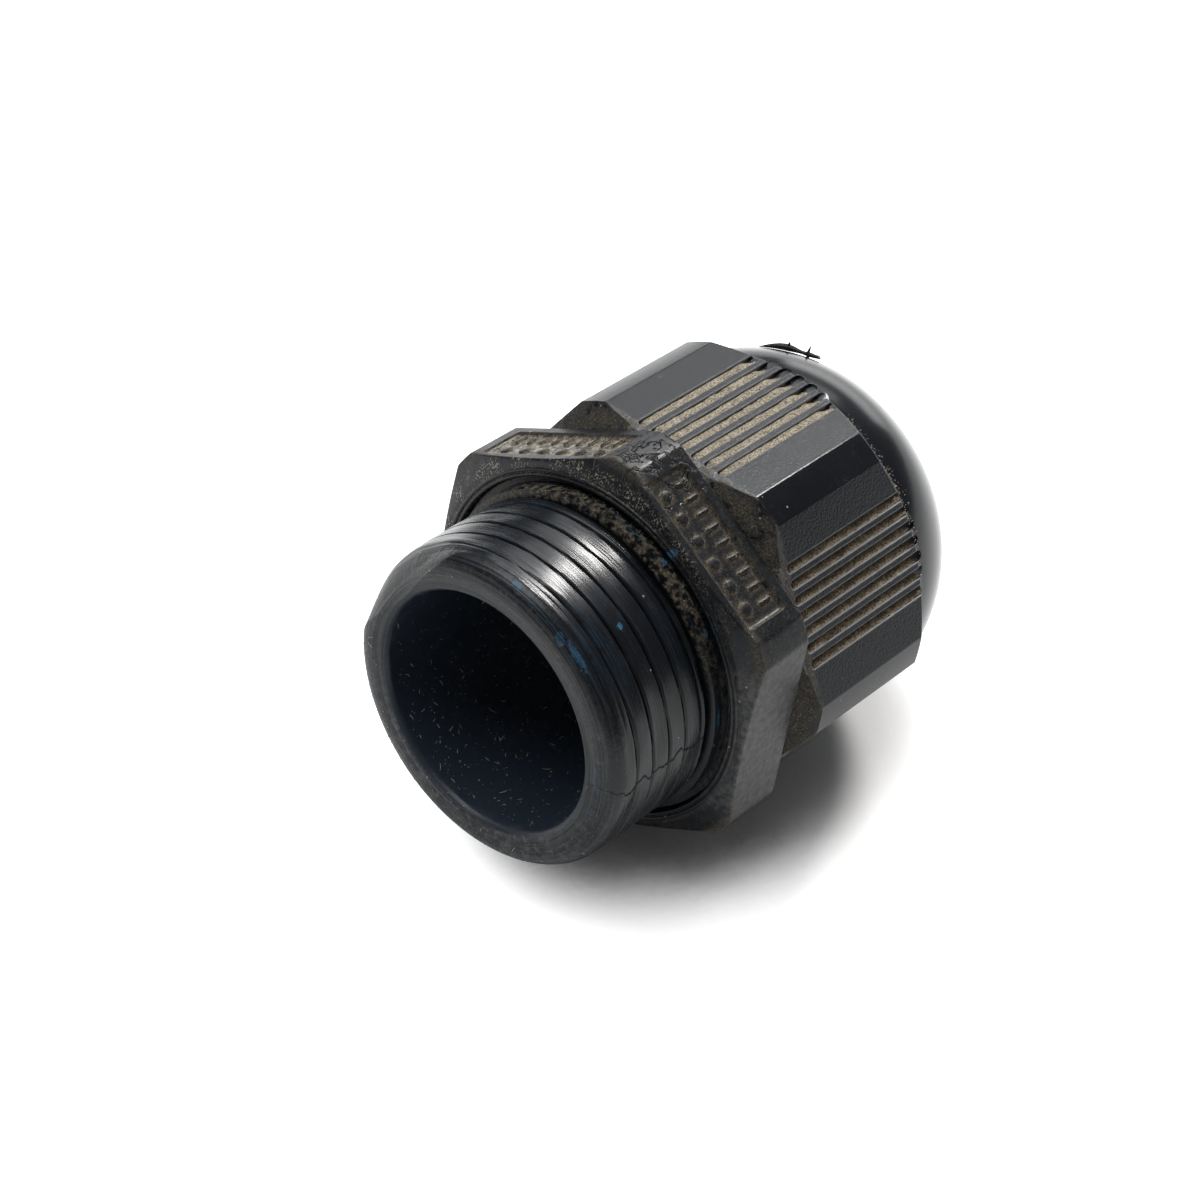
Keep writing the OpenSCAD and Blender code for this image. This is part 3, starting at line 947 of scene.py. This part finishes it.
def worn_nut_nylon(colours):
    """Spark-textured nylon with dust packed in its grip grooves and soil on its rear chamfer."""
    s = Shader("worn_nut_nylon")
    place = s.gland_place()
    x, y, z = s.parts(place)
    radius = s.math("SQRT", x * x + y * y)
    side, across, sunk = near_flat(s, x, y)
    top_side = abs(side).step(0.6, 0.4)

    on_hex = z.step(17.1, 16.4)
    grooved = abs(across).step(3.42, 3.36) * on_hex * radius.step(11.0, 11.3)
    groove = sunk.step(0.06, 0.16) * grooved
    patches = s.noise(place, 1.3, detail=3)
    facing = s.parts(s.node("ShaderNodeNewGeometry", output="Normal"))[2]
    lit_wall = facing.step(-0.1, 0.75)
    thin = groove * s.noise(place, 0.45, detail=3).step(0.40, 0.66) * lit_wall
    dust = thin * s.blend(top_side, 0.55, 0.9) * patches.step(0.2, 0.5) * z.step(16.6, 16.0)

    spark = s.noise(place, 0.16, detail=2, roughness=0.55)
    scuffs = s.noise(place, 0.7, detail=5, roughness=0.7).step(0.56, 0.78)
    specks = s.cells(place, 1.5).step(0.055, 0.035)
    nylon = s.shade(s.noise(place, 4).step(0.3, 0.7), times(colours.nylon, 0.85),
                    times(colours.nylon, 1.2))
    nylon = s.shade(scuffs * 0.10, nylon, colours.scuff)

    rear = z.step(6.1, 5.3) * radius.step(11.2, 11.8)
    soil_mask = rear * s.noise(place, 0.9, detail=4).step(0.30, 0.62)
    soil = dust_look(s, place, colours.soil)
    colour_here = s.shade(soil_mask * 0.8, nylon, soil)
    pale_grit = rear * s.noise(place, 0.13, detail=2).step(0.60, 0.68) \
        * s.noise(place, 0.8, detail=2).step(0.40, 0.60)
    colour_here = s.shade(pale_grit * 0.75, colour_here, times(colours.dust, 0.8))
    colour_here = s.shade(dust, colour_here, dust_look(s, place, colours.dust))
    colour_here = s.shade(specks * 0.7, colour_here, colours.dust)
    worn_edge = s.rounded(0.10)
    # Pale lines along the rounded edges and the groove crests: a painted highlight, partly edge
    # wear.
    crests = grooved * sunk.step(0.002, 0.01) * sunk.step(0.14, 0.08)
    rubbed = (s.edges(worn_edge).step(0.01, 0.07) * sunk.step(0.12, 0.05)).either(crests)
    colour_here = s.shade(rubbed * patches.step(0.1, 0.5) * 0.85, colour_here,
                          times(colours.scuff, 3))

    dusty = dust.either(soil_mask)
    rough = s.blend(dusty, 0.16 + 0.07 * spark + 0.1 * scuffs, 0.95)
    lumps = s.noise(place, 0.13, detail=3, roughness=0.75) * dusty
    height = spark * (1 - dusty) * on_hex * 0.014 + lumps * 0.10
    return s.surface(1.45, colour_here, rough, s.bump(height, worn_edge))


def packed_dust(colours):
    """Speckled dust: pale on the upper flat and browner on the others."""
    s = Shader("packed_dust")
    place = s.gland_place()
    x, y = s.parts(place)[:2]
    on_top = x.step(-11.2, -11.6)
    brown = times(colours.dust, 0.85, (1, 0.92, 0.82))
    here = s.shade(on_top, dust_look(s, place, brown), dust_look(s, place, colours.dust))
    crumbs_here = s.noise(place, 0.10, detail=3, roughness=0.8)
    holes = s.noise(place, 0.22, detail=3, roughness=0.7).step(0.38, 0.30)
    # Painted shade: the dust below the upper flat is darker where it lies deep under its flat.
    deep = near_flat(s, x, y)[2].step(0.20, 0.40) * (1 - on_top)
    here = s.shade((holes * s.blend(on_top, 0.9, 0.5)).either(deep * 0.8), here,
                   times(colours.soil, 0.5))
    return s.surface(1.4, here, 0.9 + 0.1 * crumbs_here,
                     s.bump((crumbs_here - holes * 0.4) * 0.17))


def loose_lint(colours):
    """Pale hairs and grains, a few of them rusty."""
    s = Shader("loose_lint")
    place = s.gland_place()
    kind = s.noise(place, 0.8, detail=1)
    here = s.shade(kind.step(0.3, 0.6), times(colours.dust, 0.7),
                   [min(0.9, c * 1.5) for c in colours.dust])
    here = s.shade(s.noise(place, 1.1, detail=1).step(0.66, 0.70) * 0.7, here, (0.22, 0.05, 0.02))
    return s.surface(1.4, here, 0.7 + 0.3 * kind, s.bump(s.noise(place, 0.05, detail=2) * 0.01))


def frayed_nylon(colours):
    """Torn nylon, dirty along its length, with a pale end."""
    s = Shader("frayed_nylon")
    place = s.gland_place()
    z = s.parts(place)[2]
    fray = s.noise(place, 0.18, detail=4, roughness=0.7)
    here = s.shade(fray.step(0.45, 0.7), colours.nylon, times(colours.soil, 0.5))
    here = s.shade(z.step(21.62, 21.74) * fray.step(0.3, 0.5), here, colours.dust)
    return s.surface(1.5, here, 0.4 + 0.5 * fray, s.bump(fray * 0.06))


PAINT_MARKS = (                              # angle in degrees, height, length and width in mm
    (-34, -8.66, 1.25, 0.16), (-27, -8.8, 0.5, 0.18), (-4, -8.55, 0.5, 0.16),
    (-34.5, -5.25, 0.28, 0.22), (-25, -0.15, 0.3, 0.3), (-50, -0.2, 0.4, 0.12),
    (-80, -0.4, 0.8, 0.1), (-8, -0.25, 1.2, 0.07))


def worn_body_nylon(colours):
    """Rubbed nylon: scuffed crests, dusty collar, soil in the hex's hollows, smears of paint."""
    s = Shader("worn_body_nylon")
    place = s.gland_place()
    x, y, z = s.parts(place)
    angle = around(s, x, y)
    radius = s.math("SQRT", x * x + y * y)
    drawn_out = s.vector(angle * 1.1, z * 7, radius * 3)
    outside = radius.step(8.2, 8.8)
    threaded = z.step(-1.0, -1.4) * outside
    hex_zone = z.step(-0.2, 0.05) * z.step(4.9, 4.8) * outside
    collar = z.step(-1.3, -0.9) * z.step(0.1, -0.05) * radius.step(9.8, 10.1) \
        * radius.step(10.6, 10.5)

    scratches = s.noise(drawn_out, 0.55, detail=5, roughness=0.75)
    rub = s.noise(place, 1.6, detail=4, roughness=0.65)
    blotches = s.noise(place, 0.5, detail=5, roughness=0.75)
    crest = radius.step(9.75, 10.1) * threaded
    lip = (z + (rub - 0.5) * 1.6).step(-7.9, -8.9)
    under = angle.math("COSINE").step(0.1, -0.9)
    side_two = hex_zone * abs(angle + math.radians(90)).step(0.50, 0.42)
    hollow = s.hollows(0.4)

    nylon = s.shade(rub.step(0.35, 0.7), colours.body, times(colours.body, 1.3))
    scuff = (scratches.step(0.48, 0.78) * (0.25 + 0.4 * crest.either(lip))).math(
        "MULTIPLY", rub.step(0.30, 0.65))
    rubbed = lip * blotches.step(0.40, 0.72) * (0.14 + 1.1 * under)
    # The pale blotches on the second side are scraping and a painted reflection of the floor.
    scraped_and_painted_reflection = side_two * blotches.step(0.35, 0.65) * 0.95
    here = s.shade((scuff * 0.55).either(rubbed).either(scraped_and_painted_reflection), nylon, colours.scuff)

    soil = dust_look(s, place, colours.soil)
    pale_soil = dust_look(s, place, times(colours.dust, 0.48, (1, 0.93, 0.82)))
    lodged = hex_zone * radius.step(11.5, 11.7) * hollow.step(0.07, 0.24) \
        * s.noise(place, 0.5, detail=3).step(0.30, 0.5)
    sunk = FLAT_LEVEL - radius * (angle - math.radians(30)).math("COSINE")
    top_panel = hex_zone * sunk.step(0.12, 0.2) * sunk.step(0.5, 0.4) * z.step(0.6, 0.9) \
        * abs(angle - math.radians(30)).step(0.43, 0.40) \
        * s.noise(place, 0.45, detail=4, roughness=0.7).step(0.40, 0.58)
    here = s.shade(top_panel * 0.85, here, dust_look(s, place, times(colours.dust, 0.8)))
    film = hex_zone * s.noise(place, 0.35, detail=5, roughness=0.8).step(0.57, 0.66)
    corner_soil = hex_zone * radius.step(12.7, 13.2) * z.step(1.4, 0.3)
    here = s.shade((film * 0.25).either(corner_soil * 0.5), here, soil)
    here = s.shade(lodged * 0.85, here, pale_soil)
    face = z.step(0.35, 0.15) * hex_zone
    top_left = (angle - 0.7).math("COSINE").step(-0.2, 0.9)
    grit_specks = hex_zone * s.noise(place, 0.13, detail=2).step(0.54, 0.61) \
        * s.noise(place, 1.4, detail=2).step(0.36, 0.56) * (0.1 + 0.9 * face * top_left)
    here = s.shade(grit_specks * 0.9, here, times(colours.dust, 0.85))
    dirt = lodged.either(film * 0.25).either(corner_soil * 0.5)

    on_top = angle.math("COSINE").step(0.2, 0.95)
    collar_dust = collar * s.noise(place, 0.3, detail=5, roughness=0.75).step(0.58, 0.72) \
        .either(collar * on_top * s.noise(place, 0.4, detail=4).step(0.42, 0.62))
    here = s.shade(collar_dust * 0.8, here, pale_soil)

    valley = threaded * radius.step(9.85, 9.65) * s.noise(place, 0.4, detail=3).step(0.5, 0.7)
    here = s.shade(valley * 0.3, here, soil)

    bore = radius.step(8.0, 7.8)
    # Painted light: the passage's wall is six times lighter than the body's nylon.
    here = s.shade(bore, here, times(colours.body, 6))
    specks = s.cells(place, 0.9).step(0.10, 0.05) * bore * x.step(-4, 4)
    flecks = s.cells(place, 1.7).step(0.05, 0.03) * (1 - bore)
    here = s.shade((specks * 0.6).either(flecks * 0.7), here, colours.dust)

    ragged = s.noise(place, 0.25, detail=4)
    paint = 0
    for mark_angle, height, mark_length, width in PAINT_MARKS:
        along = (angle - math.radians(mark_angle)) * radius / mark_length
        over = (z - height) / width
        near = s.math("SQRT", along * along + over * over) + (ragged - 0.5) * 2.6
        blot = near.step(1.0, 0.7)
        paint = blot.either(paint) if isinstance(paint, Wire) else blot
    thin = s.noise(drawn_out, 0.3, detail=4, roughness=0.8)
    here = s.shade(paint * outside * thin.step(0.38, 0.62), here,
                   s.shade(thin.step(0.5, 0.7), times(colours.paint, 0.45), colours.paint))

    worn_edge = s.rounded(0.05)
    # Pale lines along the hex's open edges: edge wear and a painted highlight.
    edge_wear_and_painted_highlight = s.edges(worn_edge).step(0.02, 0.12) * hex_zone * hollow.step(0.12, 0.04)
    here = s.shade(edge_wear_and_painted_highlight * rub.step(0.35, 0.55) * 0.5, here, times(colours.scuff, 2))
    rings = s.noise(s.vector(angle * 0.7, radius * 4, 0), 0.6, detail=3)
    here = s.shade(rings.step(0.48, 0.62) * lip * 0.4, here, colours.scuff)
    fine = s.noise(s.vector(angle * 0.5, z * 6, 0), 0.5, detail=2).step(0.55, 0.66)
    here = s.shade(fine * threaded * rub.step(0.45, 0.6) * 0.35, here,
                   times(colours.paint, 0.22))

    dusty = dirt.either(collar_dust)
    smooth = threaded * (1 - lip)
    streaks = s.noise(s.vector(angle * 0.8, z * 4, 0), 0.55, detail=2, roughness=0.5)
    rough = s.blend(dusty, s.blend(threaded, 0.25, 0.18) + 0.16 * scratches, 0.9)
    torn = hex_zone * z.step(0.1, 0.5) * abs(angle + 0.02).step(0.26, 0.16)
    along_axis = s.vector(angle * 11, z * 0.7, 0)
    cracks = abs(s.noise(along_axis, 1.3, detail=3, distortion=0.4) - 0.5).step(0.03, 0.0) * torn
    grit = s.noise(place, 0.14, detail=3, roughness=0.7)
    ragged_seam = angle + math.radians(86) + (s.noise(s.vector(0, 0, z), 1.4) - 0.5) * 0.25
    height = grit * dusty * 0.05 - cracks * 0.16 \
        + (scratches * (1 - smooth) * 0.012 + rub * hex_zone * 0.06) * (1 - dusty) \
        + (streaks * smooth * 0.022 + ragged_seam.step(-0.012, 0.012) * threaded * 0.09) \
        + (blotches * 0.025 + rings * 0.05) * lip
    return s.surface(1.5, here, rough, s.bump(height, worn_edge))


def insert_rubber(colours):
    """Dull moulded rubber with a little dust."""
    s = Shader("insert_rubber")
    place = s.gland_place()
    cloud = s.noise(place, 1.2, detail=4)
    grain_here = s.noise(place, 0.12, detail=2)
    here = s.shade(cloud.step(0.4, 0.8) * 0.25, colours.rubber, colours.soil)
    return s.surface(1.5, here, 0.62 + 0.2 * cloud, s.bump(grain_here * 0.012))


FLOOR_LIFT = 1.0                             # how much whiter the floor looks than it is lit
SHADE_FROM = (150, 65)                       # azimuth and elevation that the floor opens to
SHADE_REACH = 0.03                           # how far away the gland shades the floor's whiteness
SHADE_EDGE = (0.42, 0.67)                    # openings of the floor where its whiteness fades
SHADE_NEAR = (0.065, 0.055)                  # distances from the gland where shade can begin
MIRRORED_NEAR = (0.16, 0.06)                 # distances where reflections see a whiter floor
MIRRORED_SIDE = (0.906, 0.423)               # and the side of the gland where they do
WORLD_LEVEL = 0.10                           # strength of the surround as a light
CAMERA_TARGET = (-0.96, -1.53, 5.70)         # in millimetres
CAMERA_DISTANCE = 0.170
CAMERA_FROM = (218.57, 44.90)                # azimuth and elevation
CAMERA_LEAN = 4.86                           # in degrees
CAMERA_LENS, CAMERA_SENSOR = 88.91, 36       # in millimetres
# Each light's name, azimuth, elevation, distance, width, height, strength and tint.
LIGHTS = (
    ("back_light", 15, 44, 1.0, 0.24, 0.22, 7.2, (1.0, 0.98, 0.95)),
    ("side_light", 120, 66, 1.0, 0.66, 0.66, 4.2, (0.92, 0.97, 1.0)),
    ("glow_light", 30, 35, 1.1, 0.70, 0.55, 1.7, (0.94, 0.98, 1.0)),
    ("rim_light", 17, 4, 1.0, 0.55, 0.22, 0.9, (1.0, 1.0, 1.0)))


def direction(azimuth, elevation):
    """The way to a place in the studio, with both angles in degrees."""
    a, e = math.radians(azimuth), math.radians(elevation)
    return Vector((math.cos(a) * math.cos(e), math.sin(a) * math.cos(e), math.sin(e)))


def floor_paper(colours):
    """Matt white paper. The eye sees it whiter than it is lit, but not in the gland's shadow.

    The gland mirrors that whiter floor only nearby and on one side.
    """
    s = Shader("floor_paper")
    here = s.node("ShaderNodeTexCoord", output="Object")
    fibres = s.noise(here, 0.002, detail=3)
    tone = s.shade(fibres, times(colours.floor, 0.99), colours.floor)
    paper = s.node("ShaderNodeBsdfDiffuse", sockets={"Color": tone})
    towards = s.vector(*direction(*SHADE_FROM))
    opening = s.node("ShaderNodeAmbientOcclusion", {"samples": 24},
                     {"Distance": SHADE_REACH, "Normal": towards}, output="AO")
    far = s.math("SQRT", sum(part * part for part in s.parts(here)[:2]))
    lit_half = sum(part * way for part, way in zip(s.parts(here), MIRRORED_SIDE)) / far
    eye, glossy, through = (s.node("ShaderNodeLightPath", output=ray) for ray in (
        "Is Camera Ray", "Is Glossy Ray", "Is Transmission Ray"))
    mirrored = glossy * far.step(*MIRRORED_NEAR) * lit_half.step(0.3, 0.95)
    seen = eye.either(mirrored).either(through)
    shaded = s.node("ShaderNodeEmission", sockets={
        "Color": s.shade(opening.step(*SHADE_EDGE), (0, 0, 0), (1, 1, 1)),
        "Strength": FLOOR_LIFT})
    clear = s.node("ShaderNodeEmission", sockets={"Strength": FLOOR_LIFT})
    lift = s.node("ShaderNodeMixShader", sockets={0: far.step(*SHADE_NEAR), 1: clear, 2: shaded})
    shown = s.node("ShaderNodeAddShader", sockets={0: paper, 1: lift})
    return s.finish(s.node("ShaderNodeMixShader", sockets={0: seen, 1: paper, 2: shown}))


def world_light():
    """A white surround to the eye and through what is clear, and a dim one as a light."""
    world = bpy.data.worlds.new("studio_surround")
    bpy.context.scene.world = world
    world.use_nodes = True
    tree = world.node_tree
    background = tree.nodes["Background"]
    paths = tree.nodes.new("ShaderNodeLightPath")
    seen = tree.nodes.new("ShaderNodeMath")
    seen.operation = "MAXIMUM"
    tree.links.new(paths.outputs["Is Camera Ray"], seen.inputs[0])
    tree.links.new(paths.outputs["Is Transmission Ray"], seen.inputs[1])
    level = tree.nodes.new("ShaderNodeMapRange")
    level.inputs["To Min"].default_value = WORLD_LEVEL
    level.inputs["To Max"].default_value = 1.0
    tree.links.new(seen.outputs[0], level.inputs["Value"])
    tree.links.new(level.outputs[0], background.inputs["Strength"])
    background.inputs["Color"].default_value = (1, 1, 1, 1)


# --- Stage ----------------------------------------------------------------------------------------

def soft_light(name, azimuth, elevation, distance, width, height, strength, tint):
    """A rectangular studio light that points at the gland."""
    away = direction(azimuth, elevation)
    bpy.ops.object.light_add(type="AREA", location=away * distance)
    light = bpy.context.object
    light.name = light.data.name = name
    light.rotation_mode = "QUATERNION"
    light.rotation_quaternion = away.to_track_quat("Z", "Y")
    light.data.shape = "RECTANGLE"
    light.data.size, light.data.size_y = width, height
    light.data.energy = strength
    light.data.color = tint


class GLAND_OT_stage(bpy.types.Operator):
    """Add the pale floor, the soft lights and the camera"""
    bl_idname = "gland.add_stage"
    bl_label = "Stage"
    bl_options = {"REGISTER", "UNDO"}

    def execute(self, context):
        floor = added("studio_floor", bpy.ops.mesh.primitive_circle_add, vertices=96, radius=1.2,
                      fill_type="NGON", location=(0, 0, FLOOR_LEVEL))
        floor.data.materials.append(floor_paper(context.scene.gland_colours))
        for light in LIGHTS:
            soft_light(*light)
        world_light()
        self.add_camera(context.scene)
        return {"FINISHED"}

    def add_camera(self, scene):
        """The camera stands to one side of the mouth, above it, and leans a little."""
        target, back = Vector(CAMERA_TARGET) * MM, direction(*CAMERA_FROM)
        bpy.ops.object.camera_add(location=target + back * CAMERA_DISTANCE)
        camera = bpy.context.object
        camera.name = camera.data.name = "studio_camera"
        camera.rotation_mode = "QUATERNION"
        upright = back.to_track_quat("Z", "Y")
        lean = Euler((0, 0, math.radians(CAMERA_LEAN))).to_quaternion()
        camera.rotation_quaternion = upright @ lean
        camera.data.lens, camera.data.sensor_width = CAMERA_LENS, CAMERA_SENSOR
        camera.data.clip_start, camera.data.clip_end = 0.01, 10
        scene.camera = camera


class GLAND_PT_panel(bpy.types.Panel):
    """Lists the gland's pieces in the sidebar"""
    bl_idname = "GLAND_PT_panel"
    bl_label = "Cable Gland"
    bl_space_type = "VIEW_3D"
    bl_region_type = "UI"
    bl_category = "Gland"

    def draw(self, context):
        for operator in OPERATORS:
            self.layout.operator(operator.bl_idname)
        for group in SETTINGS:
            box = self.layout.box()
            settings = getattr(context.scene, group)
            for name in settings.__annotations__:
                box.prop(settings, name)


SETTINGS = {"gland_body": BodySizes, "gland_insert": InsertSizes, "gland_nut": NutSizes,
            "gland_colours": GlandColours}
OPERATORS = (GLAND_OT_body, GLAND_OT_insert, GLAND_OT_nut, GLAND_OT_dirt, GLAND_OT_stage)


def register():
    for group in (*SETTINGS.values(), *OPERATORS, GLAND_PT_panel):
        bpy.utils.register_class(group)
    for name, group in SETTINGS.items():
        setattr(bpy.types.Scene, name, bpy.props.PointerProperty(type=group))


def unregister():
    for name in SETTINGS:
        delattr(bpy.types.Scene, name)
    for group in reversed((*SETTINGS.values(), *OPERATORS, GLAND_PT_panel)):
        bpy.utils.unregister_class(group)


def main():
    register()
    bpy.context.scene.view_settings.view_transform = "Standard"
    for operator in OPERATORS:
        family, name = operator.bl_idname.split(".")
        getattr(getattr(bpy.ops, family), name)()


if __name__ == "__main__":
    main()
